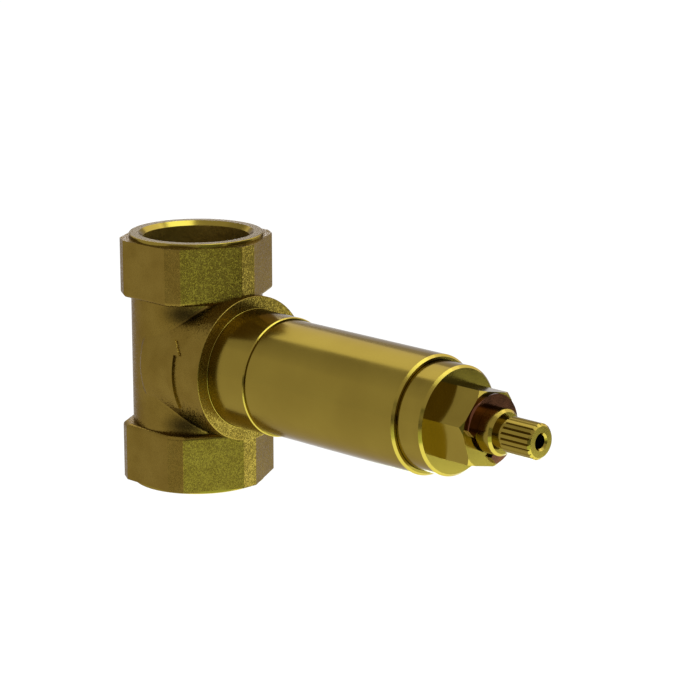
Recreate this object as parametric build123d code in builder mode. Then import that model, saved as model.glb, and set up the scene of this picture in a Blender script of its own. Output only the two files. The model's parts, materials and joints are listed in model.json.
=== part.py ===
"""Volume control valve for a concealed shower.

A cast brass tee with a ceramic disc cartridge in its branch, a long brass barrel screwed into the
branch, and a splined spindle that turns a quarter turn. Millimetres, +Z up along the run, the branch
towards -Y. The origin is on the run axis where the straight wall of the inlet bore begins.
"""

import math
import os

from build123d import *

# Run, the straight way from the inlet below to the outlet above
inlet_face_to_branch = 31.5
branch_to_outlet_face = 31.5
run_diameter = 32.7
port_bore_diameter = 26.4
port_bore_length = 14.0
port_chamfer = 1.1
waterway_diameter = 24.6

# Wrench hexagons at the two ports, each with its corners cut by a narrow facet
hex_flat_rise = 1.0
hex_corner_rise = 1.5
hex_length = 14.3
hex_inner_round = 1.1
hex_corner_round = 0.5
collar_rise = 0.3
collar_length = 1.0
collar_edge_round = 0.25

# Branch boss with its threaded socket
boss_rise = 1.65
boss_face_rise = 1.15
boss_behind_axis = 0.3
boss_back_length = 3.0
boss_back_narrowing = 4.0
boss_edge_round = 0.2
boss_root_round = 0.9
socket_depth = 11.0
socket_chamfer = 0.12

# Water chambers round the seat
chamber_diameter = 25.2
seat_behind_axis = 3.0
seat_plate_thickness = 2.5
seat_hole_diameter = 11.0
seat_hole_chamfer = 0.4
waterway_web = 2.5
back_chamber_rise = 10.0
core_round = 1.5

# Flow arrow raised on the side of the boss
arrow_reach = 10.3
arrow_tip_height = 8.4
arrow_head_length = 3.4
arrow_head_width = 5.6
arrow_shaft_width = 1.7
arrow_tail_depth = 8.8
arrow_relief = 0.5
arrow_blank_depth = 9.0

# Barrel
barrel_rear_diameter = 29.5
barrel_thread_clearance = 0.1
barrel_step_reach = 32.4
barrel_step_chamfer = 0.25
barrel_front_diameter = 28.4
barrel_reach = 81.35
barrel_front_chamfer = 0.55
barrel_seal_thickness = 1.2
cartridge_bore_depth = 13.8
guide_web = 3.0
guide_clearance = 0.15
barrel_bore_diameter = 21.0
nut_bore_depth = 14.35

# Head nut: a round nose and a hexagon in front of the barrel
nose_diameter = 25.86
nut_bore_clearance = 0.12
nose_length = 7.35
nose_chamfer = 0.6
head_across_flats = 17.0
head_turn = 17.7
head_hex_length = 9.5
head_face_diameter = 18.0
head_face_chamfer_length = 0.75
nut_cavity_diameter = 14.0
nut_shoulder_length = 14.2

# Spindle
shaft_diameter = 9.2
journal_diameter = 10.8
journal_clearance = 0.05
collar_reach_from_clip = 3.75
collar_chamfer = 0.6
neck_diameter = 7.2
neck_length = 1.8
spline_diameter = 8.3
spline_length = 8.6
spline_teeth = 20
spline_groove_width = 0.55
spline_groove_depth = 0.4
spline_tip_chamfer = 0.55
screw_hole_diameter = 3.3
screw_hole_depth = 10.0
screw_hole_countersink = 4.2
screw_hole_countersink_angle = 90.0
thrust_flange_clearance = 0.4
thrust_flange_length = 3.2
stop_lug_reach = 9.2
stop_lug_angle = 20.0
stop_play_angle = 1.5
stop_recess_clearance = 0.35
closed_lug_angle = 90.0
quarter_turn = 90.0
shank_square = 5.5
shank_length = 8.8

# Clip that holds the spindle in the head nut
clip_thickness = 0.86
clip_groove_play = 0.03
clip_outer_diameter = 16.6
clip_groove_diameter = 9.4
clip_inner_play = 0.05
clip_mouth_offset = 4.9
clip_mouth_width = 8.4
clip_mouth_angle = 225.0

# Ceramic disc cartridge
shell_diameter = 21.2
shell_clearance = 0.1
shell_wall = 1.4
shell_seat_gap = 0.6
window_angle = 96.0
window_length = 4.4
disc_clearance = 0.3
fixed_disc_thickness = 3.4
moving_disc_thickness = 3.4
disc_hub_diameter = 4.6
disc_port_outer_diameter = 14.8
disc_port_angle = 76.0
disc_key_width = 3.8
disc_key_setback = 0.5
disc_key_clearance = 0.1
drive_slot_width = 4.0
drive_slot_depth = 1.6
drive_slot_clearance = 0.1
carrier_flange_length = 4.8
carrier_hub_diameter = 11.8
carrier_hub_clearance = 0.1
carrier_end_gap = 1.4
shank_play = 0.05
shank_end_gap = 0.4

# Washers and seals
washer_thickness = 0.8
washer_clearance = 0.2
disc_seal_height = 2.6
disc_seal_inner_diameter = 12.4
disc_seal_clearance = 0.3
disc_seal_lip = 0.7
support_ring_wall = 0.5
support_ring_clearance = 0.1
barrel_seal_clearance = 0.3
ring_section = 1.1
ring_groove_length = 1.6
ring_play = 0.02
ring_groove_spacing = 4.0
shell_ring_section = 1.4
shell_ring_groove_length = 2.2

# Widths of the casting that follow from the run tube
hex_across_flats = run_diameter + 2 * hex_flat_rise
hex_across_corners = hex_across_flats + 2 * hex_corner_rise
collar_diameter = run_diameter + 2 * collar_rise
boss_diameter = run_diameter + 2 * boss_rise
boss_reach = hex_across_corners / 2 + boss_face_rise

# Places along the branch, measured outwards from the run axis
axis_height = inlet_face_to_branch - port_chamfer
mouth_height = -port_chamfer
top_height = axis_height + branch_to_outlet_face
seat_place = -seat_behind_axis
socket_floor = boss_reach - socket_depth
barrel_rear = socket_floor + barrel_seal_thickness
cartridge_shoulder = barrel_rear + cartridge_bore_depth
nut_shoulder = barrel_reach - nut_bore_depth
nose_front = barrel_reach + nose_length
head_front = nose_front + head_hex_length
clip_rear = head_front + 2 * clip_groove_play
clip_front = clip_rear + clip_thickness
journal_front = clip_front + collar_reach_from_clip
spline_rear = journal_front + neck_length
spindle_tip = spline_rear + spline_length
fixed_disc_rear = seat_place + disc_seal_height
disc_joint = fixed_disc_rear + fixed_disc_thickness
carrier_rear = disc_joint + moving_disc_thickness
carrier_flange_front = carrier_rear + carrier_flange_length
shell_shoulder = carrier_flange_front + washer_thickness
carrier_front = cartridge_shoulder - carrier_end_gap
journal_shoulder = head_front - nut_shoulder_length
thrust_flange_front = journal_shoulder - washer_thickness
thrust_flange_rear = thrust_flange_front - thrust_flange_length
shank_front = carrier_front
shank_rear = shank_front - shank_length

# Radii that two pieces share
socket_radius = barrel_rear_diameter / 2 + barrel_thread_clearance
nut_bore_radius = nose_diameter / 2 + nut_bore_clearance
guide_radius = shaft_diameter / 2 + guide_clearance
journal_bore_radius = journal_diameter / 2 + journal_clearance
thrust_flange_radius = nut_cavity_diameter / 2 - thrust_flange_clearance
cartridge_bore_radius = shell_diameter / 2 + shell_clearance
shell_bore_radius = shell_diameter / 2 - shell_wall
disc_radius = shell_bore_radius - disc_clearance
disc_hub_radius = disc_hub_diameter / 2
hub_bore_radius = carrier_hub_diameter / 2 + carrier_hub_clearance

# Turn that lays a hexagon's flat square to +X
hexagon_flat_turn = 30.0

branch_axis = Axis((0, 0, axis_height), (0, -1, 0))
# A turned profile's first value is its reach along the branch, its second its radius
branch_side = Plane(origin=(0, 0, axis_height), x_dir=(0, -1, 0), z_dir=(-1, 0, 0))


def branch_at(reach):
    """Plane across the branch at this reach, facing outwards, with +X to its right and +Z up."""
    return Plane(origin=(0, -reach, axis_height), x_dir=(1, 0, 0), z_dir=(0, -1, 0))


def wedge(middle_angle, full_angle):
    """Corner points of a wedge from the branch axis out past every piece inside the boss."""
    half = full_angle / 2
    angles = [math.radians(angle) for angle in (middle_angle - half, middle_angle, middle_angle + half)]
    return [(0, 0)] + [(boss_diameter * math.cos(a), boss_diameter * math.sin(a)) for a in angles]


def o_ring(reach, inner_radius, outer_radius):
    """Round rubber ring between a groove floor and a bore, at this reach along the branch."""
    with BuildPart() as ring:
        with BuildSketch(branch_side):
            with Locations((reach, (inner_radius + outer_radius) / 2)):
                Circle((outer_radius - inner_radius) / 2 - ring_play)
        revolve(axis=branch_axis)
    return ring


def washer(rear, thickness, inner_radius, outer_radius):
    """Flat ring across the branch."""
    with BuildPart() as ring:
        with BuildSketch(branch_at(rear)):
            Circle(outer_radius)
            Circle(inner_radius, mode=Mode.SUBTRACT)
        extrude(amount=thickness)
    return ring


# Sand core of the inlet side: the inlet floor and the chamber behind the seat
chamber_floor = axis_height - chamber_diameter / 2 - waterway_web
back_wall_face = seat_behind_axis + seat_plate_thickness
back_chamber_top = axis_height + back_chamber_rise
outlet_bore_floor = top_height - port_chamfer - port_bore_length
with BuildPart() as inlet_core:
    with BuildSketch(Plane.XY.offset(port_bore_length)):
        Circle(waterway_diameter / 2)
    extrude(amount=back_chamber_top - port_bore_length)
    with BuildSketch(Plane.XY.offset(chamber_floor)):
        with Locations((0, back_wall_face - waterway_diameter / 2)):
            Rectangle(waterway_diameter, waterway_diameter)
    extrude(amount=back_chamber_top - chamber_floor, mode=Mode.SUBTRACT)
    fillet(inlet_core.edges().group_by(Axis.Z)[-1], core_round)

# Sand core of the outlet side: from the chamber in front of the seat up to the outlet bore
with BuildPart() as outlet_core:
    with BuildSketch(Plane.XY.offset(axis_height)):
        Circle(waterway_diameter / 2)
    extrude(amount=outlet_bore_floor - axis_height)
    with BuildSketch(Plane.XY.offset(axis_height)):
        with Locations((0, seat_behind_axis + waterway_diameter / 2)):
            Rectangle(waterway_diameter, waterway_diameter)
    extrude(amount=back_chamber_rise + waterway_web, mode=Mode.SUBTRACT)

# Flow arrow, cut from a shell that stands proud of the boss
with BuildPart() as flow_arrow:
    with BuildSketch(Plane(origin=(-boss_diameter / 2 - arrow_relief, -arrow_reach, axis_height),
                           x_dir=(0, 1, 0), z_dir=(1, 0, 0))):
        with BuildLine():
            Polyline(
                (0, arrow_tip_height),
                (arrow_head_width / 2, arrow_tip_height - arrow_head_length),
                (arrow_shaft_width / 2, arrow_tip_height - arrow_head_length),
                (arrow_shaft_width / 2, -arrow_tail_depth),
                (-arrow_shaft_width / 2, -arrow_tail_depth),
                (-arrow_shaft_width / 2, arrow_tip_height - arrow_head_length),
                (-arrow_head_width / 2, arrow_tip_height - arrow_head_length),
                close=True,
            )
        make_face()
    extrude(amount=arrow_blank_depth)
    with BuildSketch(branch_at(0)):
        Circle(boss_diameter / 2 + arrow_relief)
    extrude(amount=boss_reach, mode=Mode.INTERSECT)

# Valve body, one casting
with BuildPart() as valve_body:
    # Lower hexagon, with its edges broken, and its twin above
    with BuildSketch(Plane.XY.offset(mouth_height + collar_length)):
        RegularPolygon(hex_across_flats / 2, 6, major_radius=False, rotation=hexagon_flat_turn)
        RegularPolygon(hex_across_corners / 2, 6, major_radius=False, mode=Mode.INTERSECT)
    extrude(amount=hex_length)
    fillet(valve_body.edges().filter_by(Axis.Z), hex_corner_round)
    fillet(valve_body.edges().group_by(Axis.Z)[-1], hex_inner_round)
    mirror(about=Plane.XY.offset((mouth_height + top_height) / 2))

    # Run tube and the turned collars at its ends
    with BuildSketch(Plane.XY.offset(mouth_height + collar_length)):
        Circle(run_diameter / 2)
    extrude(amount=top_height - mouth_height - 2 * collar_length)
    with BuildSketch(Plane.XY.offset(mouth_height), Plane.XY.offset(top_height - collar_length)):
        Circle(collar_diameter / 2)
    extrude(amount=collar_length)
    fillet(valve_body.edges().group_by(Axis.Z)[0], collar_edge_round)
    fillet(valve_body.edges().group_by(Axis.Z)[-1], collar_edge_round)

    # Boss of the branch, rounded off into the tube behind the run axis
    with BuildSketch(branch_side):
        with BuildLine():
            Polyline(
                (-boss_behind_axis, boss_diameter / 2),
                (boss_reach, boss_diameter / 2),
                (boss_reach, 0),
                (-boss_behind_axis - boss_back_length, 0),
                (-boss_behind_axis - boss_back_length, boss_diameter / 2 - boss_back_narrowing),
            )
            EllipticalCenterArc(
                (-boss_behind_axis, boss_diameter / 2 - boss_back_narrowing),
                boss_back_length,
                boss_back_narrowing,
                start_angle=90,
                arc_size=90,
            )
        make_face()
    revolve(axis=branch_axis)
    root_edges = valve_body.edges().filter_by(GeomType.BSPLINE).group_by(SortBy.LENGTH)[-1]
    fillet(root_edges, boss_root_round)
    add(flow_arrow.part)

    # Ports with their lead-in chamfers
    with BuildSketch(Plane.XY.offset(mouth_height)):
        Circle(port_bore_diameter / 2)
    extrude(amount=port_chamfer + port_bore_length, mode=Mode.SUBTRACT)
    with BuildSketch(Plane.XY.offset(outlet_bore_floor)):
        Circle(port_bore_diameter / 2)
    extrude(amount=port_chamfer + port_bore_length, mode=Mode.SUBTRACT)
    for end in (0, -1):
        end_edges = valve_body.edges().filter_by(GeomType.CIRCLE).group_by(Axis.Z)[end]
        chamfer(end_edges.sort_by(SortBy.RADIUS)[0], port_chamfer)

    # Waterway round the seat
    add(inlet_core.part, mode=Mode.SUBTRACT)
    add(outlet_core.part, mode=Mode.SUBTRACT)

    # Socket for the barrel, chamber for the cartridge and the seat hole
    with BuildSketch(branch_at(socket_floor)):
        Circle(socket_radius)
    extrude(amount=socket_depth, mode=Mode.SUBTRACT)
    with BuildSketch(branch_at(seat_place)):
        Circle(chamber_diameter / 2)
    extrude(amount=socket_floor - seat_place, mode=Mode.SUBTRACT)
    with BuildSketch(branch_at(seat_place - seat_plate_thickness)):
        Circle(seat_hole_diameter / 2)
    extrude(amount=seat_plate_thickness, mode=Mode.SUBTRACT)
    ring_edges = valve_body.edges().filter_by(GeomType.CIRCLE).group_by(Axis.Y)[0]
    fillet(ring_edges.sort_by(SortBy.RADIUS)[-1], boss_edge_round)
    ring_edges = valve_body.edges().filter_by(GeomType.CIRCLE).group_by(Axis.Y)[0]
    chamfer(ring_edges.sort_by(SortBy.RADIUS)[0], socket_chamfer)

# Barrel, turned from bar: cartridge bore at the rear, nut bore at the front
with BuildPart() as barrel:
    with BuildSketch(branch_side):
        with BuildLine():
            Polyline(
                (barrel_rear, cartridge_bore_radius),
                (barrel_rear, barrel_rear_diameter / 2),
                (barrel_step_reach - barrel_step_chamfer, barrel_rear_diameter / 2),
                (barrel_step_reach, barrel_rear_diameter / 2 - barrel_step_chamfer),
                (barrel_step_reach, barrel_front_diameter / 2),
                (barrel_reach - barrel_front_chamfer, barrel_front_diameter / 2),
                (barrel_reach, barrel_front_diameter / 2 - barrel_front_chamfer),
                (barrel_reach, nut_bore_radius),
                (nut_shoulder, nut_bore_radius),
                (nut_shoulder, barrel_bore_diameter / 2),
                (cartridge_shoulder + guide_web, barrel_bore_diameter / 2),
                (cartridge_shoulder + guide_web, guide_radius),
                (cartridge_shoulder, guide_radius),
                (cartridge_shoulder, cartridge_bore_radius),
                close=True,
            )
        make_face()
    revolve(axis=branch_axis)

# Head nut: shank inside the barrel, round nose, hexagon, journal bore
nut_ring_place = nut_shoulder + ring_groove_spacing
nut_groove_radius = nut_bore_radius - shell_ring_section
with BuildPart() as head_nut:
    with BuildSketch(branch_at(nut_shoulder)):
        Circle(nose_diameter / 2)
    extrude(amount=nose_front - nut_shoulder)
    chamfer(head_nut.edges().filter_by(GeomType.CIRCLE).group_by(Axis.Y)[0], nose_chamfer)
    with BuildSketch(branch_at(nose_front)):
        RegularPolygon(
            head_across_flats / 2, 6, major_radius=False, rotation=head_turn + hexagon_flat_turn
        )
    extrude(amount=head_hex_length)
    # The front corners of the hexagon are turned off by a cone
    with BuildSketch(branch_side):
        with BuildLine():
            corner = head_across_flats / math.sqrt(3)
            cone_rate = head_face_chamfer_length / (corner - head_face_diameter / 2)
            cone_start = head_front - head_face_chamfer_length
            beyond = corner - head_face_diameter / 2
            Polyline(
                (head_front, head_face_diameter / 2),
                (cone_start - beyond * cone_rate, corner + beyond),
                (head_front, corner + beyond),
                close=True,
            )
        make_face()
    revolve(axis=branch_axis, mode=Mode.SUBTRACT)
    # Cavity behind, journal bore in front
    with BuildSketch(branch_at(nut_shoulder)):
        Circle(nut_cavity_diameter / 2)
    extrude(amount=journal_shoulder - nut_shoulder, mode=Mode.SUBTRACT)
    with BuildSketch(branch_at(journal_shoulder)):
        Circle(journal_bore_radius)
    extrude(amount=nut_shoulder_length, mode=Mode.SUBTRACT)
    # Quarter-turn recess for the stop lug
    with BuildSketch(branch_at(nut_shoulder)):
        with BuildLine():
            recess_angle = quarter_turn + stop_lug_angle + 2 * stop_play_angle
            Polyline(*wedge(closed_lug_angle + quarter_turn / 2, recess_angle), close=True)
        make_face()
        Circle(stop_lug_reach + stop_recess_clearance, mode=Mode.INTERSECT)
    extrude(amount=thrust_flange_front - nut_shoulder, mode=Mode.SUBTRACT)
    # Groove for the ring that seals the nut in the barrel
    with BuildSketch(branch_at(nut_ring_place - shell_ring_groove_length / 2)):
        Circle(nose_diameter)
        Circle(nut_groove_radius, mode=Mode.SUBTRACT)
    extrude(amount=shell_ring_groove_length, mode=Mode.SUBTRACT)

# Spindle
spindle_ring_rear = journal_shoulder + ring_groove_spacing
spindle_ring_front = spindle_ring_rear + ring_groove_spacing
journal_groove_radius = journal_diameter / 2 - ring_section
with BuildPart() as spindle:
    # Square shank that drives the disc carrier
    with BuildSketch(branch_at(shank_rear)):
        Rectangle(shank_square, shank_square)
    extrude(amount=shank_front - shank_rear)
    with BuildSketch(branch_side):
        with BuildLine():
            Polyline(
                (shank_front, 0),
                (shank_front, shaft_diameter / 2),
                (thrust_flange_rear, shaft_diameter / 2),
                (thrust_flange_rear, thrust_flange_radius),
                (thrust_flange_front, thrust_flange_radius),
                (thrust_flange_front, journal_diameter / 2),
                (journal_front - collar_chamfer, journal_diameter / 2),
                (journal_front, journal_diameter / 2 - collar_chamfer),
                (journal_front, neck_diameter / 2),
                (spline_rear, neck_diameter / 2),
                (spline_rear, spline_diameter / 2),
                (spindle_tip - spline_tip_chamfer, spline_diameter / 2),
                (spindle_tip, spline_diameter / 2 - spline_tip_chamfer),
                (spindle_tip, 0),
                close=True,
            )
        make_face()
    revolve(axis=branch_axis)
    # Stop lug on the thrust flange, at the clockwise end of its recess while the valve is closed
    with BuildSketch(branch_at(thrust_flange_rear)):
        with BuildLine():
            Polyline(*wedge(closed_lug_angle, stop_lug_angle), close=True)
        make_face()
        Circle(stop_lug_reach, mode=Mode.INTERSECT)
    extrude(amount=thrust_flange_length)
    # Grooves for the two sealing rings and for the clip
    for groove_place, groove_length, groove_radius in (
        (spindle_ring_rear, ring_groove_length, journal_groove_radius),
        (spindle_ring_front, ring_groove_length, journal_groove_radius),
        ((clip_rear + clip_front) / 2, clip_thickness + 2 * clip_groove_play, clip_groove_diameter / 2),
    ):
        with BuildSketch(branch_at(groove_place - groove_length / 2)):
            Circle(journal_diameter)
            Circle(groove_radius, mode=Mode.SUBTRACT)
        extrude(amount=groove_length, mode=Mode.SUBTRACT)
    # Splines: narrow V-shaped grooves that leave flat-topped teeth
    with BuildSketch(branch_at(spline_rear)):
        with PolarLocations(spline_diameter / 2, spline_teeth):
            Polygon(
                (-spline_groove_depth, 0),
                (spline_groove_depth, -spline_groove_width),
                (spline_groove_depth, spline_groove_width),
                align=None,
            )
    extrude(amount=spline_length, mode=Mode.SUBTRACT)
    # Tapped hole for the handle screw
    with Locations(branch_at(spindle_tip)):
        CounterSinkHole(
            screw_hole_diameter / 2,
            screw_hole_countersink / 2,
            depth=screw_hole_depth,
            counter_sink_angle=screw_hole_countersink_angle,
        )

# C-shaped clip in the spindle's groove
with BuildPart() as spindle_clip:
    with BuildSketch(branch_at(clip_rear)):
        Circle(clip_outer_diameter / 2)
        Circle(clip_groove_diameter / 2 + clip_inner_play, mode=Mode.SUBTRACT)
        with Locations(Location((0, 0), clip_mouth_angle)):
            with Locations((clip_outer_diameter / 2, 0)):
                Rectangle(clip_outer_diameter, clip_mouth_width, mode=Mode.SUBTRACT)
            with Locations((clip_mouth_offset + clip_outer_diameter / 2, 0)):
                Rectangle(clip_outer_diameter, 2 * clip_outer_diameter, mode=Mode.SUBTRACT)
    extrude(amount=clip_thickness)

# Cartridge shell: discs at the rear, two side windows, carrier bearing at the front
shell_ring_place = (shell_shoulder + cartridge_shoulder) / 2
shell_groove_radius = cartridge_bore_radius - shell_ring_section
with BuildPart() as cartridge_shell:
    with BuildSketch(branch_side):
        with BuildLine():
            Polyline(
                (seat_place + shell_seat_gap, shell_bore_radius),
                (seat_place + shell_seat_gap, shell_diameter / 2),
                (shell_ring_place - shell_ring_groove_length / 2, shell_diameter / 2),
                (shell_ring_place - shell_ring_groove_length / 2, shell_groove_radius),
                (shell_ring_place + shell_ring_groove_length / 2, shell_groove_radius),
                (shell_ring_place + shell_ring_groove_length / 2, shell_diameter / 2),
                (cartridge_shoulder, shell_diameter / 2),
                (cartridge_shoulder, hub_bore_radius),
                (shell_shoulder, hub_bore_radius),
                (shell_shoulder, shell_bore_radius),
                close=True,
            )
        make_face()
    revolve(axis=branch_axis)
    with BuildSketch(branch_at(disc_joint)):
        for side in (0, 180):
            with BuildLine():
                Polyline(*wedge(side, window_angle), close=True)
            make_face()
    extrude(amount=window_length, mode=Mode.SUBTRACT)
    with BuildSketch(branch_at(seat_place + shell_seat_gap)):
        Rectangle(disc_key_width + 2 * disc_key_clearance, 2 * shell_diameter)
    extrude(amount=disc_joint - seat_place - shell_seat_gap, mode=Mode.SUBTRACT)

# Fixed ceramic disc with two ports and the keys that stop it turning
with BuildPart() as fixed_disc:
    with BuildSketch(branch_at(fixed_disc_rear)):
        Circle(disc_radius)
        Rectangle(disc_key_width, shell_diameter - 2 * disc_key_setback)
        with BuildSketch(mode=Mode.SUBTRACT):
            for side in (0, 180):
                with BuildLine():
                    Polyline(*wedge(side, disc_port_angle), close=True)
                make_face()
            Circle(disc_port_outer_diameter / 2, mode=Mode.INTERSECT)
            Circle(disc_hub_radius, mode=Mode.SUBTRACT)
    extrude(amount=fixed_disc_thickness)

# Moving ceramic disc: a bow tie that covers the ports at rest, with a drive slot across its front
with BuildPart() as moving_disc:
    with BuildSketch(branch_at(disc_joint)):
        Circle(disc_radius)
        with BuildSketch(mode=Mode.SUBTRACT):
            for side in (90, 270):
                with BuildLine():
                    Polyline(*wedge(side, disc_port_angle), close=True)
                make_face()
            Circle(disc_hub_radius, mode=Mode.SUBTRACT)
    extrude(amount=moving_disc_thickness)
    with BuildSketch(branch_at(carrier_rear - drive_slot_depth)):
        Rectangle(2 * shell_diameter, drive_slot_width)
    extrude(amount=drive_slot_depth, mode=Mode.SUBTRACT)

# Disc carrier: tongue in the drive slot, flange, hub with a square socket for the spindle
carrier_ring_rear = shell_shoulder + ring_groove_spacing / 2
carrier_ring_front = carrier_ring_rear + ring_groove_spacing
hub_groove_radius = carrier_hub_diameter / 2 - ring_section
with BuildPart() as disc_carrier:
    with BuildSketch(branch_at(carrier_rear)):
        Circle(disc_radius)
    extrude(amount=carrier_flange_length)
    with BuildSketch(branch_at(carrier_rear - drive_slot_depth + drive_slot_clearance)):
        Circle(disc_radius)
        Rectangle(shell_diameter, drive_slot_width - 2 * drive_slot_clearance, mode=Mode.INTERSECT)
    extrude(amount=drive_slot_depth - drive_slot_clearance)
    with BuildSketch(branch_at(carrier_flange_front)):
        Circle(carrier_hub_diameter / 2)
    extrude(amount=carrier_front - carrier_flange_front)
    with BuildSketch(branch_at(shank_rear - shank_end_gap)):
        Rectangle(shank_square + 2 * shank_play, shank_square + 2 * shank_play)
    extrude(amount=shank_length + shank_end_gap, mode=Mode.SUBTRACT)
    for groove_place in (carrier_ring_rear, carrier_ring_front):
        with BuildSketch(branch_at(groove_place - ring_groove_length / 2)):
            Circle(carrier_hub_diameter)
            Circle(hub_groove_radius, mode=Mode.SUBTRACT)
        extrude(amount=ring_groove_length, mode=Mode.SUBTRACT)

# Lip seal between the fixed disc and the seat: a rubber ring waisted between two lips
seal_outer_radius = shell_bore_radius - disc_seal_clearance
seal_inner_radius = disc_seal_inner_diameter / 2
with BuildPart() as disc_seal:
    with BuildSketch(branch_side):
        with BuildLine():
            Polyline(
                (seat_place, seal_inner_radius),
                (seat_place, seal_outer_radius),
                (seat_place + disc_seal_lip, seal_outer_radius),
                (seat_place + disc_seal_height / 2, seal_outer_radius - disc_seal_lip),
                (fixed_disc_rear - disc_seal_lip, seal_outer_radius),
                (fixed_disc_rear, seal_outer_radius),
                (fixed_disc_rear, seal_inner_radius),
                close=True,
            )
        make_face()
    revolve(axis=branch_axis)

# Rings and washers
support_outer_radius = seal_inner_radius - support_ring_clearance
seal_support_ring = washer(
    seat_place + support_ring_clearance,
    disc_seal_height - 2 * support_ring_clearance,
    support_outer_radius - support_ring_wall,
    support_outer_radius,
)
barrel_seal_ring = washer(
    socket_floor,
    barrel_seal_thickness,
    chamber_diameter / 2 + barrel_seal_clearance,
    socket_radius - barrel_seal_clearance,
)
carrier_thrust_washer = washer(
    carrier_flange_front,
    washer_thickness,
    carrier_hub_diameter / 2 + washer_clearance,
    shell_bore_radius - washer_clearance,
)
spindle_thrust_washer = washer(
    thrust_flange_front,
    washer_thickness,
    journal_diameter / 2 + washer_clearance,
    nut_cavity_diameter / 2 - washer_clearance,
)
shell_o_ring = o_ring(shell_ring_place, shell_groove_radius, cartridge_bore_radius)
head_nut_o_ring = o_ring(nut_ring_place, nut_groove_radius, nut_bore_radius)
carrier_o_ring_rear = o_ring(carrier_ring_rear, hub_groove_radius, hub_bore_radius)
carrier_o_ring_front = o_ring(carrier_ring_front, hub_groove_radius, hub_bore_radius)
spindle_o_ring_rear = o_ring(spindle_ring_rear, journal_groove_radius, journal_bore_radius)
spindle_o_ring_front = o_ring(spindle_ring_front, journal_groove_radius, journal_bore_radius)

pieces = {
    "valve_body": valve_body,
    "barrel": barrel,
    "barrel_seal_ring": barrel_seal_ring,
    "head_nut": head_nut,
    "head_nut_o_ring": head_nut_o_ring,
    "spindle": spindle,
    "spindle_clip": spindle_clip,
    "spindle_thrust_washer": spindle_thrust_washer,
    "spindle_o_ring_rear": spindle_o_ring_rear,
    "spindle_o_ring_front": spindle_o_ring_front,
    "cartridge_shell": cartridge_shell,
    "shell_o_ring": shell_o_ring,
    "disc_carrier": disc_carrier,
    "carrier_thrust_washer": carrier_thrust_washer,
    "carrier_o_ring_rear": carrier_o_ring_rear,
    "carrier_o_ring_front": carrier_o_ring_front,
    "moving_disc": moving_disc,
    "fixed_disc": fixed_disc,
    "disc_seal": disc_seal,
    "seal_support_ring": seal_support_ring,
}
os.makedirs("parts", exist_ok=True)
for name, piece in pieces.items():
    piece.part.label = name
    export_step(piece.part, f"parts/{name}.step")
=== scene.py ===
"""Looks of a concealed brass volume control valve, laid out as a Blender add-on and run as a script."""

import json
import math

import bpy
import numpy as np
from mathutils import Matrix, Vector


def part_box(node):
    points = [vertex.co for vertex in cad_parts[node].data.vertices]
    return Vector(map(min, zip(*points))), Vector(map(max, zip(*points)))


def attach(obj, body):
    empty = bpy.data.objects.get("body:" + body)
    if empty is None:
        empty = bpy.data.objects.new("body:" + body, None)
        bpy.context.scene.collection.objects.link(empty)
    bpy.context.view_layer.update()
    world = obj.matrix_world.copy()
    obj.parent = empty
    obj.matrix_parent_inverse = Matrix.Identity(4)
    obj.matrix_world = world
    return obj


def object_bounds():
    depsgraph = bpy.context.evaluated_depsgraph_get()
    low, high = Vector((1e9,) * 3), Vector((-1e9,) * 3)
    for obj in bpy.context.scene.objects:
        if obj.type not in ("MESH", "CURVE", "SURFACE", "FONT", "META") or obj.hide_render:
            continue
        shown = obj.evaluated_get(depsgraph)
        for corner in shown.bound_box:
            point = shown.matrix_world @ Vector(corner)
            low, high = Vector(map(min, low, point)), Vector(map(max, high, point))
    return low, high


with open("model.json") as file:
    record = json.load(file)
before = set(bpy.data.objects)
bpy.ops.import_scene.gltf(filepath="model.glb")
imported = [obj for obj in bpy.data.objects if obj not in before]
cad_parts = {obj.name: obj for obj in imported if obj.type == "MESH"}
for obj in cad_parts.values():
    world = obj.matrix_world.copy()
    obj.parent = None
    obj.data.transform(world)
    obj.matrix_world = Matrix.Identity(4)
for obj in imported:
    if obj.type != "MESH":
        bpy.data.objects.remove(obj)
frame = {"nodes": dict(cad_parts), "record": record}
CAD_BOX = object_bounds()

bl_info = {
    "name": "Volume control valve",
    "version": (1, 0, 0),
    "blender": (4, 5, 0),
    "location": "3D View > Sidebar > Valve",
    "description": "Finishes and studio stage for a brass volume control valve",
    "category": "Object",
}

MM = 0.001
WHITE = (1.0, 1.0, 1.0, 1.0)

# Places that the frame gives. The run and branch axes cross at the branch's height
MOUNTS = {mount["name"]: mount for mount in frame["record"]["mounts"]}
BRANCH_HEIGHT = MOUNTS["spline"]["pos_m"][2]
PORT_RADIUS = MOUNTS["inlet"]["dims"]["r_mm"] * MM
PORT_FACE_DISTANCE = CAD_BOX[1][2] - BRANCH_HEIGHT

# Painted shade in the corner between the run, the branch and a hexagon: its place from where the axes
# cross, how much narrower than wide the dark patch is, and the share of its reach that is fully dark
PAINTED_SHADE_PLACE_MM = (10.5, -8.5, 14.0)
PAINTED_SHADE_STRETCH = (0.9, 0.9, 1.7)
PAINTED_SHADE_CORE_SHARE = 0.3

# Noise swings round a half and rarely leaves these limits, which patches draw apart to none and all
PATCH_LOW, PATCH_HIGH = 0.35, 0.65
SMEAR_LOW, SMEAR_HIGH = 0.3, 0.7

# Layers of noise in the patterns that are finer than the usual two
FINE_DETAIL = 3.0

# Steps round a ring and round its section
RING_STEPS = 192
SECTION_STEPS = 12

# Fibres lie along the sheet: their width as a share of their length
FIBRE_STRETCH = 0.15

# Lamps and cards stand round the middle of the barrel
STUDIO_CENTRE = np.array((0.0, -0.06, BRANCH_HEIGHT))

# Pale paper of the floor, and the glow that makes it as white as the world behind it
FLOOR_PAPER = "#d9d9d9"
FLOOR_GLOW = 0.42

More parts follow.
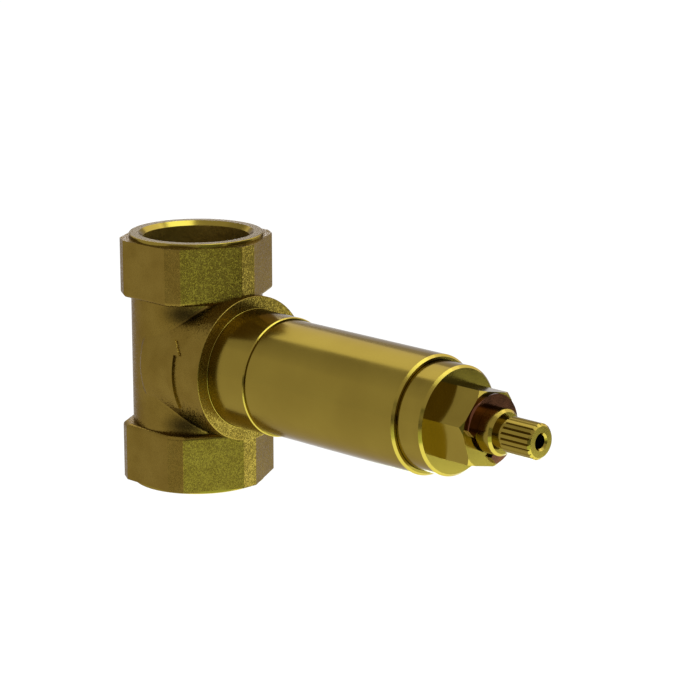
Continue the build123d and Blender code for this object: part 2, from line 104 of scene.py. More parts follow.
# The camera stands where the photograph's did, worked out from the object's edges
CAMERA_OFFSET_MM = (-414.3, -466.3, 155.0)
CAMERA_ELEVATION = 13.878
CAMERA_AZIMUTH = -45.126
CAMERA_LENS_MM = 131.64
CAMERA_SENSOR_MM = 36.0


def linear(hex_colour):
    """Linear RGBA of an sRGB hex colour, by the sRGB transfer curve."""
    values = np.array([int(hex_colour[i:i + 2], 16) for i in (1, 3, 5)]) / 255
    curve = np.where(values <= 0.04045, values / 12.92, ((values + 0.055) / 1.055) ** 2.4)
    return (*(float(v) for v in curve), 1.0)


def add_node(tree, kind, settings=None, **inputs):
    """Adds one node. Settings are its properties. Inputs are its sockets, by name with _ for a space or by
    number after i. Each gets a value, a socket, or a node, whose first output in use is linked."""
    node = tree.nodes.new(kind)
    for name, value in (settings or {}).items():
        setattr(node, name, value)
    for name, value in inputs.items():
        key = int(name[1:]) if name[0] == "i" and name[1:].isdigit() else name.replace("_", " ")
        if isinstance(value, bpy.types.Node):
            value = next(output for output in value.outputs if output.enabled)
        if isinstance(value, bpy.types.NodeSocket):
            tree.links.new(value, node.inputs[key])
        else:
            node.inputs[key].default_value = value
    return node


def new_material(name):
    """Empty node material and its tree."""
    material = bpy.data.materials.new(name)
    material.use_nodes = True
    material.node_tree.nodes.clear()
    return material, material.node_tree


def cast_brass_material(look):
    """Sand-cast brass: dull, grainy like fine sandpaper, with machined port ends that shine."""
    material, tree = new_material("cast_brass")
    place = add_node(tree, "ShaderNodeTexCoord").outputs["Object"]
    x, y, z = add_node(tree, "ShaderNodeSeparateXYZ", Vector=place).outputs
    height = add_node(tree, "ShaderNodeMath", {"operation": "SUBTRACT"}, i0=z, i1=BRANCH_HEIGHT)
    height = add_node(tree, "ShaderNodeMath", {"operation": "ABSOLUTE"}, i0=height)
    x_squared = add_node(tree, "ShaderNodeMath", {"operation": "MULTIPLY"}, i0=x, i1=x)
    y_squared = add_node(tree, "ShaderNodeMath", {"operation": "MULTIPLY"}, i0=y, i1=y)
    across = add_node(tree, "ShaderNodeMath", {"operation": "ADD"}, i0=x_squared, i1=y_squared)
    across = add_node(tree, "ShaderNodeMath", {"operation": "SQRT"}, i0=across)

    # The faced collar and the lead-in chamfer of each port are machined, and the rest is as cast
    collar = add_node(
        tree, "ShaderNodeMath", {"operation": "GREATER_THAN"}, i0=height,
        i1=PORT_FACE_DISTANCE - look.collar_depth,
    )
    mouth = add_node(
        tree, "ShaderNodeMath", {"operation": "GREATER_THAN"}, i0=height,
        i1=PORT_FACE_DISTANCE - look.mouth_depth,
    )
    inner = add_node(
        tree, "ShaderNodeMath", {"operation": "LESS_THAN"}, i0=across, i1=PORT_RADIUS + look.mouth_width
    )
    chamfer = add_node(tree, "ShaderNodeMath", {"operation": "MULTIPLY"}, i0=mouth, i1=inner)
    machined = add_node(tree, "ShaderNodeMath", {"operation": "MAXIMUM"}, i0=collar, i1=chamfer)
    rough_cast = add_node(tree, "ShaderNodeMath", {"operation": "SUBTRACT"}, i0=1.0, i1=machined)

    stain = add_node(
        tree, "ShaderNodeTexNoise", Vector=place, Scale=1 / look.stain_size, Detail=FINE_DETAIL
    )
    stain = add_node(
        tree, "ShaderNodeMapRange", Value=stain, From_Min=PATCH_LOW, From_Max=PATCH_HIGH
    )
    skin = add_node(
        tree, "ShaderNodeMix", {"data_type": "RGBA"}, i0=stain, i6=look.colour_low, i7=look.colour_high
    )

    # Painted shade: the four corners between the run and the branch, where shade falls, are darkened in
    # the colour itself. Folding the two sides and the two ends onto one corner darkens all four alike.
    side = add_node(tree, "ShaderNodeMath", {"operation": "ABSOLUTE"}, i0=x)
    folded = add_node(tree, "ShaderNodeCombineXYZ", X=side, Y=y, Z=height)
    folded = add_node(
        tree, "ShaderNodeVectorMath", {"operation": "MULTIPLY"}, i0=folded, i1=PAINTED_SHADE_STRETCH
    )
    corner = tuple(part * stretch * MM for part, stretch in zip(PAINTED_SHADE_PLACE_MM, PAINTED_SHADE_STRETCH))
    away = add_node(tree, "ShaderNodeVectorMath", {"operation": "DISTANCE"}, i0=folded, i1=corner)
    away = add_node(
        tree, "ShaderNodeMapRange", {"interpolation_type": "SMOOTHSTEP"}, Value=away,
        From_Min=PAINTED_SHADE_CORE_SHARE * look.painted_shade_reach, From_Max=look.painted_shade_reach,
    )
    # The painted shade is mixed into the cast skin's colour here
    skin = add_node(
        tree, "ShaderNodeMix", {"data_type": "RGBA"}, i0=away, i6=look.colour_painted_shade, i7=skin
    )
    colour = add_node(
        tree, "ShaderNodeMix", {"data_type": "RGBA"}, i0=machined, i6=skin, i7=look.colour_machined
    )

    # Each sand grain leaves a small facet that leans its own way, so it glints where the light changes
    facets = add_node(
        tree, "ShaderNodeTexVoronoi", {"feature": "F1"}, Vector=place, Scale=1 / look.grain_size
    )
    lean = add_node(
        tree, "ShaderNodeVectorMath", {"operation": "SUBTRACT"}, i0=facets.outputs["Color"],
        i1=(0.5, 0.5, 0.5),
    )
    lean_share = add_node(
        tree, "ShaderNodeMath", {"operation": "MULTIPLY"}, i0=rough_cast, i1=2 * look.grain_lean
    )
    lean = add_node(tree, "ShaderNodeVectorMath", {"operation": "SCALE"}, i0=lean, Scale=lean_share)
    lumps = add_node(tree, "ShaderNodeTexNoise", Vector=place, Scale=1 / look.lump_size)
    lumps = add_node(tree, "ShaderNodeMath", {"operation": "MULTIPLY"}, i0=lumps, i1=rough_cast)
    normal = add_node(
        tree, "ShaderNodeBump", Strength=1.0, Distance=look.lump_height, Height=lumps
    )
    normal = add_node(tree, "ShaderNodeVectorMath", {"operation": "ADD"}, i0=normal, i1=lean)
    normal = add_node(tree, "ShaderNodeVectorMath", {"operation": "NORMALIZE"}, i0=normal)

    # Some of the facets are rubbed bright and the others stay dull
    facet = add_node(tree, "ShaderNodeSeparateColor", Color=facets.outputs["Color"])
    gloss = add_node(
        tree, "ShaderNodeMapRange", Value=facet.outputs["Blue"], To_Min=look.bright_roughness,
        To_Max=look.dull_roughness,
    )
    gloss = add_node(tree, "ShaderNodeMix", i0=inner, i2=gloss, i3=look.bore_roughness)
    gloss = add_node(tree, "ShaderNodeMix", i0=machined, i2=gloss, i3=look.machined_roughness)
    shader = add_node(
        tree, "ShaderNodeBsdfPrincipled", Base_Color=colour, Metallic=1.0, Roughness=gloss,
        Normal=normal, Specular_Tint=look.edge_tint,
    )
    add_node(tree, "ShaderNodeOutputMaterial", Surface=shader)
    return material


def turned_brass_material(name, look):
    """Free-cutting brass off the lathe: smooth, with very fine rings round its axis."""
    material, tree = new_material(name)
    place = add_node(tree, "ShaderNodeTexCoord").outputs["Object"]
    rings = add_node(
        tree, "ShaderNodeMapping", Vector=place, Scale=(look.ring_stretch, 1.0, look.ring_stretch)
    )
    rings = add_node(tree, "ShaderNodeTexNoise", Vector=rings, Scale=1 / look.ring_size)
    normal = add_node(
        tree, "ShaderNodeBump", Strength=look.ring_strength, Distance=look.ring_height, Height=rings
    )
    smear = add_node(tree, "ShaderNodeTexNoise", Vector=place, Scale=1 / look.smear_size)
    smear = add_node(
        tree, "ShaderNodeMapRange", Value=smear, From_Min=SMEAR_LOW, From_Max=SMEAR_HIGH
    )
    gloss = add_node(
        tree, "ShaderNodeMapRange", Value=smear, To_Min=look.roughness_low, To_Max=look.roughness_high
    )
    colour = add_node(
        tree, "ShaderNodeMix", {"data_type": "RGBA"}, i0=smear, i6=look.colour_low, i7=look.colour_high
    )
    shader = add_node(
        tree, "ShaderNodeBsdfPrincipled", Base_Color=colour, Metallic=1.0, Roughness=gloss,
        Normal=normal, Specular_Tint=look.edge_tint,
    )
    add_node(tree, "ShaderNodeOutputMaterial", Surface=shader)
    return material


def clip_material(look):
    """Phosphor bronze strip, browned by heat: dark, smooth, with fine marks of the rolling."""
    material, tree = new_material("browned_bronze")
    place = add_node(tree, "ShaderNodeTexCoord").outputs["Object"]
    marks = add_node(tree, "ShaderNodeMapping", Vector=place, Scale=(1.0, 1.0, look.mark_stretch))
    marks = add_node(tree, "ShaderNodeTexNoise", Vector=marks, Scale=1 / look.mark_size)
    normal = add_node(
        tree, "ShaderNodeBump", Strength=look.mark_strength, Distance=look.mark_height, Height=marks
    )
    heat = add_node(tree, "ShaderNodeTexNoise", Vector=place, Scale=1 / look.heat_size)
    heat = add_node(tree, "ShaderNodeMapRange", Value=heat, From_Min=PATCH_LOW, From_Max=PATCH_HIGH)
    colour = add_node(
        tree, "ShaderNodeMix", {"data_type": "RGBA"}, i0=heat, i6=look.colour_low, i7=look.colour_high
    )
    shader = add_node(
        tree, "ShaderNodeBsdfPrincipled", Base_Color=colour, Metallic=1.0, Roughness=look.roughness,
        Normal=normal,
    )
    add_node(tree, "ShaderNodeOutputMaterial", Surface=shader)
    return material


def matt_material(name, look, fleck_stretch=1.0):
    """Moulded, pressed or sintered stuff: two shades in fine flecks over a dull, faintly uneven skin."""
    material, tree = new_material(name)
    place = add_node(tree, "ShaderNodeTexCoord").outputs["Object"]
    flecks = add_node(tree, "ShaderNodeMapping", Vector=place, Scale=(fleck_stretch, 1.0, 1.0))
    flecks = add_node(
        tree, "ShaderNodeTexNoise", Vector=flecks, Scale=1 / look.fleck_size, Detail=FINE_DETAIL
    )
    normal = add_node(
        tree, "ShaderNodeBump", Strength=1.0, Distance=look.fleck_height, Height=flecks
    )
    shade = add_node(
        tree, "ShaderNodeMapRange", Value=flecks, From_Min=PATCH_LOW, From_Max=PATCH_HIGH
    )
    colour = add_node(
        tree, "ShaderNodeMix", {"data_type": "RGBA"}, i0=shade, i6=look.colour_low, i7=look.colour_high
    )
    shader = add_node(
        tree, "ShaderNodeBsdfPrincipled", Base_Color=colour, Roughness=look.roughness, IOR=look.ior,
        Normal=normal,
    )
    add_node(tree, "ShaderNodeOutputMaterial", Surface=shader)
    return material


def ring_mesh(name, centre, ring_radius, section_radius):
    """Ring with a round section, coaxial with the branch. With the angle a round the axis and b round the
    section, x and z are the centre's plus cos a and sin a times the reach, which is the ring's radius
    plus the section's radius times cos b, and y is the centre's plus the section's radius times sin b."""
    around = np.linspace(0, 2 * math.pi, RING_STEPS, endpoint=False)[:, None]
    section = np.linspace(0, 2 * math.pi, SECTION_STEPS, endpoint=False)[None, :]
    reach = ring_radius + section_radius * np.cos(section)
    points = np.stack((
        centre[0] + reach * np.cos(around),
        centre[1] + section_radius * np.sin(section) + 0 * around,
        centre[2] + reach * np.sin(around),
    ), axis=-1)
    i, j = np.meshgrid(np.arange(RING_STEPS), np.arange(SECTION_STEPS), indexing="ij")
    next_i, next_j = (i + 1) % RING_STEPS, (j + 1) % SECTION_STEPS
    faces = np.stack((
        i * SECTION_STEPS + j, i * SECTION_STEPS + next_j,
        next_i * SECTION_STEPS + next_j, next_i * SECTION_STEPS + j,
    ), axis=-1)
    mesh = bpy.data.meshes.new(name)
    mesh.from_pydata(points.reshape(-1, 3).tolist(), [], faces.reshape(-1, 4).tolist())
    mesh.polygons.foreach_set("use_smooth", [True] * len(mesh.polygons))
    piece = bpy.data.objects.new(name, mesh)
    bpy.context.scene.collection.objects.link(piece)
    return piece


def dress(node_name, material):
    """Gives a CAD node its material."""
    node = frame["nodes"][node_name]
    node.data.materials.clear()
    node.data.materials.append(material)


def length_property(name, text, default_mm):
    """Length that the user can set, with its default in millimetres."""
    return bpy.props.FloatProperty(
        name=name, description=text, default=default_mm * MM, min=0.0, precision=5, subtype="DISTANCE",
        unit="LENGTH",
    )


def share_property(name, text, default):
    """Share from 0 to 1 that the user can set."""
    return bpy.props.FloatProperty(
        name=name, description=text, default=default, min=0.0, max=1.0, subtype="FACTOR"
    )


def colour_property(name, text, default_hex):
    """Colour that the user can set, with its default as an sRGB hex value."""
    return bpy.props.FloatVectorProperty(
        name=name, description=text, default=linear(default_hex), size=4, min=0.0, max=1.0,
        subtype="COLOR",
    )


class ValveCastLook(bpy.types.PropertyGroup):
    """Cast brass of the valve body: a dull brown-yellow skin that glints in grains."""
    colour_low: colour_property("Darker brass", "Cast skin where it is darker", "#6c5722")
    colour_high: colour_property("Lighter brass", "Cast skin where it is lighter", "#745f28")
    # Painted shade, not oxide: the colour that darkens the corners beside the branch
    colour_painted_shade: colour_property("Corner brass", "Dark oxide in the corners beside the branch", "#2c220c")
    colour_machined: colour_property("Machined brass", "Faced port ends", "#7d6a2a")
    edge_tint: colour_property("Edge tint", "Tint of the metal at grazing angles", "#cbc5c3")
    # Real moulding sand leaves grains of about 0.15 mm, too fine to show in the picture
    grain_size: length_property("Grain size", "Marks of the sand, drawn coarser to show", 0.26)
    grain_lean: share_property("Grain lean", "How far the facets of the grains lean", 0.08)
    lump_size: length_property("Lump size", "Slow unevenness of the casting", 2.5)
    lump_height: length_property("Lump height", "Height of the unevenness", 0.025)
    stain_size: length_property("Stain size", "Patches of uneven colour", 6.0)
    # How far the painted shade reaches from each corner
    painted_shade_reach: length_property("Corner reach", "How far the dark of a corner reaches", 7.0)
    collar_depth: length_property("Collar depth", "Faced ring at each port end", 0.97)
    mouth_depth: length_property("Mouth depth", "Depth of the lead-in chamfer", 1.12)
    mouth_width: length_property("Mouth width", "Width of the lead-in chamfer", 1.5)
    bright_roughness: share_property("Bright roughness", "Roughness of the brightest facets", 0.2)
    dull_roughness: share_property("Dull roughness", "Roughness of the dullest facets", 0.42)
    bore_roughness: share_property("Bore roughness", "Roughness of the threaded port walls", 0.5)
    machined_roughness: share_property("Machined roughness", "Roughness of the faced ends", 0.18)


class ValveLipLook(bpy.types.PropertyGroup):
    """Size of the lip that closes the socket round the barrel."""
    lip_radius: length_property("Lip radius", "Radius of the lip's round section", 0.12)
    lip_sink: length_property("Lip sink", "How far the section's centre lies behind the face", 0.04)


class ValveTurnedLook(bpy.types.PropertyGroup):
    """Turned brass of the barrel: satin yellow, with fine rings round it."""
    colour_low: colour_property("Darker brass", "Turned brass where it is darker", "#7b6829")
    colour_high: colour_property("Lighter brass", "Turned brass where it is lighter", "#816e2c")
    edge_tint: colour_property("Edge tint", "Tint of the metal at grazing angles", "#cbc5c3")
    ring_size: length_property("Ring width", "Lathe rings, drawn wider than the real 0.1 mm to show", 0.35)
    ring_stretch: share_property("Ring stretch", "How little the rings change across the axis", 0.02)
    ring_height: length_property("Ring height", "Height of the rings", 0.004)
    ring_strength: share_property("Ring strength", "How strongly the rings show", 0.25)
    smear_size: length_property("Smear size", "Patches of uneven polish", 12.0)
    roughness_low: share_property("Lowest roughness", "Roughness where it is smoothest", 0.15)
    roughness_high: share_property("Highest roughness", "Roughness where it is dullest", 0.2)


class ValveFineLook(bpy.types.PropertyGroup):
    """Finely turned brass of the head nut and the spindle: a little shinier than the barrel."""
    colour_low: colour_property("Darker brass", "Turned brass where it is darker", "#7b6829")
    colour_high: colour_property("Lighter brass", "Turned brass where it is lighter", "#816e2c")
    edge_tint: colour_property("Edge tint", "Tint of the metal at grazing angles", "#cbc5c3")
    ring_size: length_property("Ring width", "Lathe rings, drawn wider than the real 0.05 mm to show", 0.2)
    ring_stretch: share_property("Ring stretch", "How little the rings change across the axis", 0.02)
    ring_height: length_property("Ring height", "Height of the rings", 0.001)
    ring_strength: share_property("Ring strength", "How strongly the rings show", 0.25)
    smear_size: length_property("Smear size", "Patches of uneven polish", 6.0)
    roughness_low: share_property("Lowest roughness", "Roughness where it is smoothest", 0.13)
    roughness_high: share_property("Highest roughness", "Roughness where it is dullest", 0.17)


class ValveClipLook(bpy.types.PropertyGroup):
    """Rolled phosphor bronze of the clip, browned: dark red-brown and polished."""
    colour_low: colour_property("Darker bronze", "Browned bronze where it is darker", "#4a2b1c")
    colour_high: colour_property("Redder bronze", "Browned bronze where it is redder", "#643b27")
    mark_size: length_property("Mark size", "Marks of the rolling", 0.3)
    mark_stretch: share_property("Mark stretch", "How little the marks change along the strip", 0.1)
    mark_height: length_property("Mark height", "Height of the marks", 0.003)
    mark_strength: share_property("Mark strength", "How strongly the marks show", 0.5)
    heat_size: length_property("Heat patches", "Patches of deeper brown", 4.0)
    roughness: share_property("Roughness", "Roughness of the rolled face", 0.12)


class ValveCutLook(bpy.types.PropertyGroup):
    """Drawn brass of the cartridge, bored and turned: bright, with open rings of the tool."""
    colour_low: colour_property("Darker brass", "Drawn brass where it is darker", "#8a7433")
    colour_high: colour_property("Lighter brass", "Drawn brass where it is lighter", "#958040")
    edge_tint: colour_property("Edge tint", "Tint of the metal at grazing angles", "#cbc5c3")
    ring_size: length_property("Ring width", "Rings of the boring tool, drawn wider to show", 0.25)
    ring_stretch: share_property("Ring stretch", "How little the rings change across the axis", 0.02)
    ring_height: length_property("Ring height", "Height of the rings", 0.006)
    ring_strength: share_property("Ring strength", "How strongly the rings show", 0.4)
    smear_size: length_property("Smear size", "Patches of uneven polish", 5.0)
    roughness_low: share_property("Lowest roughness", "Roughness where it is smoothest", 0.2)
    roughness_high: share_property("Highest roughness", "Roughness where it is dullest", 0.3)


class ValveRubberLook(bpy.types.PropertyGroup):
    """Moulded nitrile rubber of the seals: black, with a soft dull sheen."""
    colour_low: colour_property("Darker rubber", "Black rubber where it is darker", "#141415")
    colour_high: colour_property("Lighter rubber", "Black rubber with a little bloom", "#242426")
    fleck_size: length_property("Fleck size", "Unevenness of the mould", 0.4)
    fleck_height: length_property("Fleck height", "Height of the unevenness", 0.006)
    roughness: share_property("Roughness", "Roughness of the rubber skin", 0.55)
    ior: bpy.props.FloatProperty(name="IOR", description="Refraction of rubber", default=1.52, min=1.0)


class ValvePlasticLook(bpy.types.PropertyGroup):
    """Acetal of the washers and the support ring: cream white and waxy."""
    colour_low: colour_property("Darker plastic", "Acetal where it is darker", "#dcd8cc")
    colour_high: colour_property("Lighter plastic", "Acetal where it is lighter", "#eae7dd")
    fleck_size: length_property("Fleck size", "Cutting marks", 0.5)
    fleck_height: length_property("Fleck height", "Height of the marks", 0.004)
    roughness: share_property("Roughness", "Roughness of the cut plastic", 0.38)
    ior: bpy.props.FloatProperty(name="IOR", description="Refraction of acetal", default=1.48, min=1.0)


class ValveCeramicLook(bpy.types.PropertyGroup):
    """Lapped alumina of the two discs: ivory white, smooth enough to gloss."""
    colour_low: colour_property("Darker ceramic", "Alumina where it is darker", "#ddd9ce")
    colour_high: colour_property("Lighter ceramic", "Alumina where it is lighter", "#efece3")
    fleck_size: length_property("Fleck size", "Sintered grains, drawn coarser than real to show", 0.15)
    fleck_height: length_property("Fleck height", "Height of the grains", 0.001)
    roughness: share_property("Roughness", "Roughness of the lapped face", 0.14)
    ior: bpy.props.FloatProperty(name="IOR", description="Refraction of alumina", default=1.76, min=1.0)


class ValveFibreLook(bpy.types.PropertyGroup):
    """Vulcanised fibre of the flat ring behind the barrel: dull red, with a papery grain."""
    colour_low: colour_property("Darker fibre", "Vulcanised fibre where it is darker", "#5e211a")
    colour_high: colour_property("Lighter fibre", "Vulcanised fibre where it is lighter", "#853126")
    fleck_size: length_property("Fleck size", "Width of the paper fibres", 0.2)
    fleck_height: length_property("Fleck height", "Height of the fibres", 0.01)
    roughness: share_property("Roughness", "Roughness of the fibre sheet", 0.6)
    ior: bpy.props.FloatProperty(name="IOR", description="Refraction of fibre", default=1.5, min=1.0)


class ValveStageLook(bpy.types.PropertyGroup):
    """Floor and background of the stage."""
    floor_drop: length_property("Floor drop", "Floor below the valve, which hangs from its pipe", 900.0)
    floor_size: length_property("Floor size", "Side of the square floor", 20000.0)
    world_level: share_property("World level", "Plain light from all round", 0.9)


def plane_mesh(name, centre, across, up):
    """Rectangle with its centre, half side vectors across and up: centre plus or minus each of them."""
    centre, across, up = (np.array(v, dtype=float) for v in (centre, across, up))
    signs = np.array([(-1, -1), (1, -1), (1, 1), (-1, 1)])
    points = centre + signs[:, :1] * across + signs[:, 1:] * up
    mesh = bpy.data.meshes.new(name)
    mesh.from_pydata(points.tolist(), [], [(0, 1, 2, 3)])
    piece = bpy.data.objects.new(name, mesh)
    bpy.context.scene.collection.objects.link(piece)
    return piece


def direction(bearing):
    """Unit vectors of a bearing, as seen from the barrel: outwards, sideways to the right, and upwards. A
    bearing is its turn from +Y towards +X and its height over the horizon, in degrees."""
    turn, height = (math.radians(angle) for angle in bearing)
    ahead = np.array((math.sin(turn), math.cos(turn), 0.0))
    outwards = math.cos(height) * ahead + math.sin(height) * np.array((0.0, 0.0, 1.0))
    sideways = np.array((math.cos(turn), -math.sin(turn), 0.0))
    return outwards, sideways, np.cross(sideways, outwards)


def soft_lamp(name, bearing, distance_mm, size_mm, level, colour, facing=None):
    """Rectangular soft box that stands at this bearing and faces the barrel, or away from another bearing.
    Level 1 is as bright as white paper: a lamp's power is its level times pi times its area."""
    data = bpy.data.lights.new(name, "AREA")
    data.shape = "RECTANGLE"
    data.size, data.size_y = (side * MM for side in size_mm)
    data.energy = level * math.pi * data.size * data.size_y
    data.color = linear(colour)[:3]
    lamp = bpy.data.objects.new(name, data)
    bpy.context.scene.collection.objects.link(lamp)
    place = STUDIO_CENTRE + direction(bearing)[0] * distance_mm * MM
    outwards, sideways, upwards = direction(facing or bearing)
    pose = np.eye(4)
    pose[:3] = np.column_stack((sideways, upwards, outwards, place))
    lamp.matrix_world = Matrix(pose.tolist())
    lamp.visible_camera = False


def grey_card(name, bearing, distance_mm, size_mm, level, colour, fade_to=None):
    """Card that only mirror rays see, so that polished brass has something other than white to show. Level
    1 is white. It may fade evenly from its level on the right to another level on the left."""
    outwards, sideways, upwards = direction(bearing)
    centre = STUDIO_CENTRE + outwards * distance_mm * MM
    across, up = (side / 2 * MM * unit for side, unit in zip(size_mm, (sideways, upwards)))
    card = plane_mesh(name, centre, across, up)
    material, tree = new_material(name)
    place = add_node(tree, "ShaderNodeTexCoord").outputs["Object"]
    rightwards = add_node(
        tree, "ShaderNodeVectorMath", {"operation": "DOT_PRODUCT"}, i0=place, i1=tuple(sideways)
    )
    middle, half = float(centre @ sideways), size_mm[0] / 2 * MM
    strength = add_node(
        tree, "ShaderNodeMapRange", Value=rightwards, From_Min=middle - half, From_Max=middle + half,
        To_Min=level if fade_to is None else fade_to, To_Max=level,
    )
    glow = add_node(tree, "ShaderNodeEmission", Color=linear(colour), Strength=strength)
    add_node(tree, "ShaderNodeOutputMaterial", Surface=glow)
    card.data.materials.append(material)
    card.visible_camera = False
    card.visible_diffuse = False
    card.visible_transmission = False
    card.visible_shadow = False


class VALVE_OT_body(bpy.types.Operator):
    """Finish the cast valve body"""
    bl_idname = "valve.body"
    bl_label = "Valve body"

    def execute(self, context):
        dress("valve_body", cast_brass_material(context.scene.valve_cast))
        return {"FINISHED"}


class VALVE_OT_lip(bpy.types.Operator):
    """Add the thin lip that closes the socket round the barrel"""
    bl_idname = "valve.lip"
    bl_label = "Socket lip"

    def execute(self, context):
        look = context.scene.valve_lip
        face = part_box("valve_body")[0].y
        barrel_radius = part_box("barrel")[1].x
        lip = ring_mesh(
            "socket_lip", centre=(0.0, face + look.lip_sink, BRANCH_HEIGHT),
            ring_radius=barrel_radius + look.lip_radius, section_radius=look.lip_radius,
        )
        # The lip is cut with the socket, so it shines as the barrel beside it does
        lip.data.materials.append(frame["nodes"]["barrel"].data.materials[0])
        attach(lip, "body")
        return {"FINISHED"}


class VALVE_OT_turned(bpy.types.Operator):
    """Finish the barrel, the head nut and the spindle"""
    bl_idname = "valve.turned"
    bl_label = "Turned pieces"

    def execute(self, context):
        dress("barrel", turned_brass_material("turned_brass", context.scene.valve_turned))
        material = turned_brass_material("finely_turned_brass", context.scene.valve_fine)
        for name in ("head_nut", "spindle"):
            dress(name, material)
        return {"FINISHED"}


class VALVE_OT_clip(bpy.types.Operator):
    """Finish the clip that holds the spindle"""
    bl_idname = "valve.clip"
    bl_label = "Spindle clip"

    def execute(self, context):
        dress("spindle_clip", clip_material(context.scene.valve_clip))
        return {"FINISHED"}


class VALVE_OT_cartridge(bpy.types.Operator):
    """Finish the shell, the carrier and the two discs of the cartridge"""
    bl_idname = "valve.cartridge"
    bl_label = "Disc cartridge"

    def execute(self, context):
        brass = turned_brass_material("drawn_brass", context.scene.valve_cut)
        ceramic = matt_material("alumina_ceramic", context.scene.valve_ceramic)
        for name in ("cartridge_shell", "disc_carrier"):
            dress(name, brass)
        for name in ("fixed_disc", "moving_disc"):
            dress(name, ceramic)
        return {"FINISHED"}


class VALVE_OT_seals(bpy.types.Operator):
    """Finish the rubber rings, the plastic washers and the fibre ring"""
    bl_idname = "valve.seals"
    bl_label = "Seals and washers"

    def execute(self, context):
        rubber = matt_material("nitrile_rubber", context.scene.valve_rubber)
        plastic = matt_material("acetal_plastic", context.scene.valve_plastic)
        for name in frame["nodes"]:
            if "o_ring" in name or name == "disc_seal":
                dress(name, rubber)
            elif name.endswith("washer") or name == "seal_support_ring":
                dress(name, plastic)
        fibre = matt_material("vulcanised_fibre", context.scene.valve_fibre, FIBRE_STRETCH)
        dress("barrel_seal_ring", fibre)
        return {"FINISHED"}


class VALVE_OT_stage(bpy.types.Operator):
    """Set the floor, the background, the lamps and the camera"""
    bl_idname = "valve.stage"
    bl_label = "Stage"

    def execute(self, context):
        look = context.scene.valve_stage
        half = look.floor_size / 2
        floor = plane_mesh("floor", (0, 0, -look.floor_drop), (half, 0, 0), (0, half, 0))
        floor.data.materials.append(floor_material())
        white_world(look.world_level)

        # The lamps draw the bands of light along the barrel and over the turned edges
        soft_lamp(
            "lamp_overhead", bearing=(160, 70), distance_mm=1000, size_mm=(800, 560), level=5.2,
            colour="#eafff2",
        )
        soft_lamp(
            "lamp_front_high", bearing=(140, 48), distance_mm=1500, size_mm=(1300, 450), level=1.7,
            colour="#e6f2ff",
        )
        soft_lamp(
            "lamp_back_right", bearing=(24, 36.5), distance_mm=1500, size_mm=(900, 950), level=1.55,
            colour="#f0f6ff",
        )
        soft_lamp(
            "lamp_right", bearing=(97, 30), distance_mm=1500, size_mm=(1300, 1400), level=2.1,
            colour="#f0f6ff",
        )
        soft_lamp(
            "lamp_strip", bearing=(40, -2), distance_mm=1500, size_mm=(150, 500), level=5.0,
            colour="#f0f6ff",
        )
        soft_lamp(
            "lamp_low", bearing=(140, -31.5), distance_mm=1650, size_mm=(3700, 3300), level=3.0,
            colour="#e6fff0", facing=(140, -90),
        )

        # The cards are what the flat faces mirror, so each face gets its own shade
        grey_card(
            "card_back_left", bearing=(-24, 42), distance_mm=1500, size_mm=(1050, 560), level=0.6,
            colour="#ffffff", fade_to=1.0,
        )
        grey_card(
            "card_front_right", bearing=(140, 10), distance_mm=2650, size_mm=(3010, 2634), level=0.26,
            colour="#f6fff0",
        )
        grey_card(
            "card_camera", bearing=(-162, 1.5), distance_mm=2800, size_mm=(2270, 1700), level=0.32,
            colour="#eaffe6",
        )
        grey_card(
            "card_left", bearing=(-114, -5), distance_mm=2800, size_mm=(2500, 760), level=0.3,
            colour="#ffffff",
        )
        grey_card(
            "card_camera_low", bearing=(-168, -27), distance_mm=1400, size_mm=(1600, 560), level=2.1,
            colour="#e0ffcd",
        )

        camera_data = bpy.data.cameras.new("camera")
        camera_data.lens = CAMERA_LENS_MM
        camera_data.sensor_width = CAMERA_SENSOR_MM
        camera = bpy.data.objects.new("camera", camera_data)
        context.scene.collection.objects.link(camera)
        camera.location = np.array(CAMERA_OFFSET_MM) * MM + np.array((0, 0, BRANCH_HEIGHT))
        camera.rotation_euler = (math.radians(90 - CAMERA_ELEVATION), 0, math.radians(CAMERA_AZIMUTH))
        context.scene.camera = camera
        context.scene.view_settings.view_transform = "Standard"
        return {"FINISHED"}


def seen_rays(tree):
    """Node that is 1 for the rays that show a thing to the camera, in metal or through glass."""
    rays = add_node(tree, "ShaderNodeLightPath").outputs
    seen = add_node(
        tree, "ShaderNodeMath", {"operation": "MAXIMUM"}, i0=rays["Is Camera Ray"],
        i1=rays["Is Glossy Ray"],
    )
    return add_node(
        tree, "ShaderNodeMath", {"operation": "MAXIMUM"}, i0=seen, i1=rays["Is Transmission Ray"]
    )


def floor_material():
    """Matt white paper: it glows a little for camera and mirror rays, so it meets the white world."""
    material, tree = new_material("floor_paper")
    strength = add_node(
        tree, "ShaderNodeMath", {"operation": "MULTIPLY"}, i0=seen_rays(tree), i1=FLOOR_GLOW
    )
    glow = add_node(tree, "ShaderNodeEmission", Color=WHITE, Strength=strength)
    paper = add_node(tree, "ShaderNodeBsdfDiffuse", Color=linear(FLOOR_PAPER))
    both = add_node(tree, "ShaderNodeAddShader", i0=glow, i1=paper)
    add_node(tree, "ShaderNodeOutputMaterial", Surface=both)
    return material


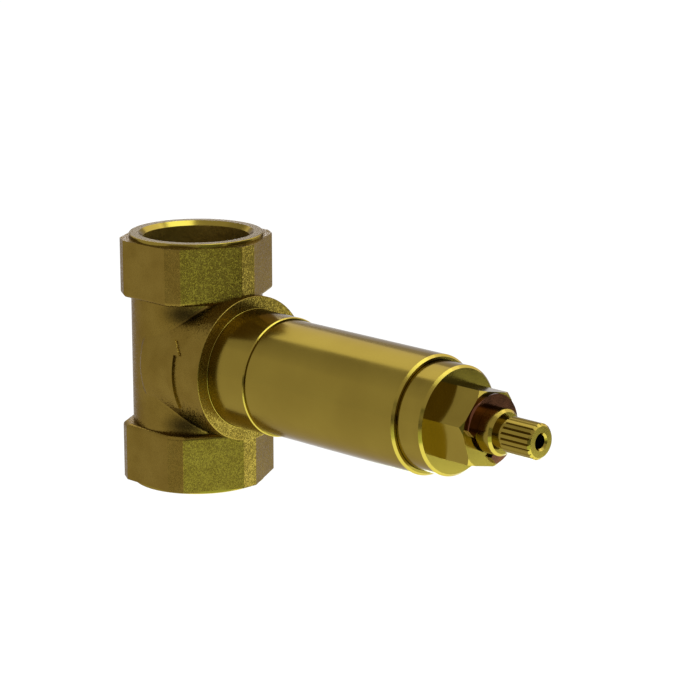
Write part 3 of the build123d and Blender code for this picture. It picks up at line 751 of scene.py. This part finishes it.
def white_world(level):
    """World that is white to camera, mirror and glass rays and lights matt surfaces at the plain level."""
    world = bpy.data.worlds.new("studio")
    world.use_nodes = True
    tree = world.node_tree
    tree.nodes.clear()
    strength = add_node(
        tree, "ShaderNodeMapRange", Value=seen_rays(tree), To_Min=level, To_Max=1.0
    )
    background = add_node(tree, "ShaderNodeBackground", Color=WHITE, Strength=strength)
    add_node(tree, "ShaderNodeOutputWorld", Surface=background)
    bpy.context.scene.world = world


class VALVE_PT_panel(bpy.types.Panel):
    """Sidebar panel with the valve's operators"""
    bl_label = "Valve"
    bl_space_type = "VIEW_3D"
    bl_region_type = "UI"
    bl_category = "Valve"

    def draw(self, context):
        for operator in OPERATORS:
            self.layout.operator(operator.bl_idname)


LOOKS = {
    "valve_cast": ValveCastLook,
    "valve_lip": ValveLipLook,
    "valve_turned": ValveTurnedLook,
    "valve_fine": ValveFineLook,
    "valve_clip": ValveClipLook,
    "valve_cut": ValveCutLook,
    "valve_rubber": ValveRubberLook,
    "valve_plastic": ValvePlasticLook,
    "valve_ceramic": ValveCeramicLook,
    "valve_fibre": ValveFibreLook,
    "valve_stage": ValveStageLook,
}
# The lip takes the barrel's material, so it comes after the turned pieces
OPERATORS = (
    VALVE_OT_body, VALVE_OT_turned, VALVE_OT_lip, VALVE_OT_clip, VALVE_OT_cartridge, VALVE_OT_seals,
    VALVE_OT_stage,
)
CLASSES = (*LOOKS.values(), *OPERATORS, VALVE_PT_panel)


def register():
    """Makes the classes known and hangs the looks on the scene."""
    for cls in CLASSES:
        bpy.utils.register_class(cls)
    for name, group in LOOKS.items():
        setattr(bpy.types.Scene, name, bpy.props.PointerProperty(type=group))


def unregister():
    """Takes the looks and the classes away again."""
    for name in LOOKS:
        delattr(bpy.types.Scene, name)
    for cls in reversed(CLASSES):
        bpy.utils.unregister_class(cls)


def main():
    """Runs every operator in order."""
    register()
    for operator in OPERATORS:
        area, name = operator.bl_idname.split(".")
        getattr(getattr(bpy.ops, area), name)()


if __name__ == "__main__":
    main()
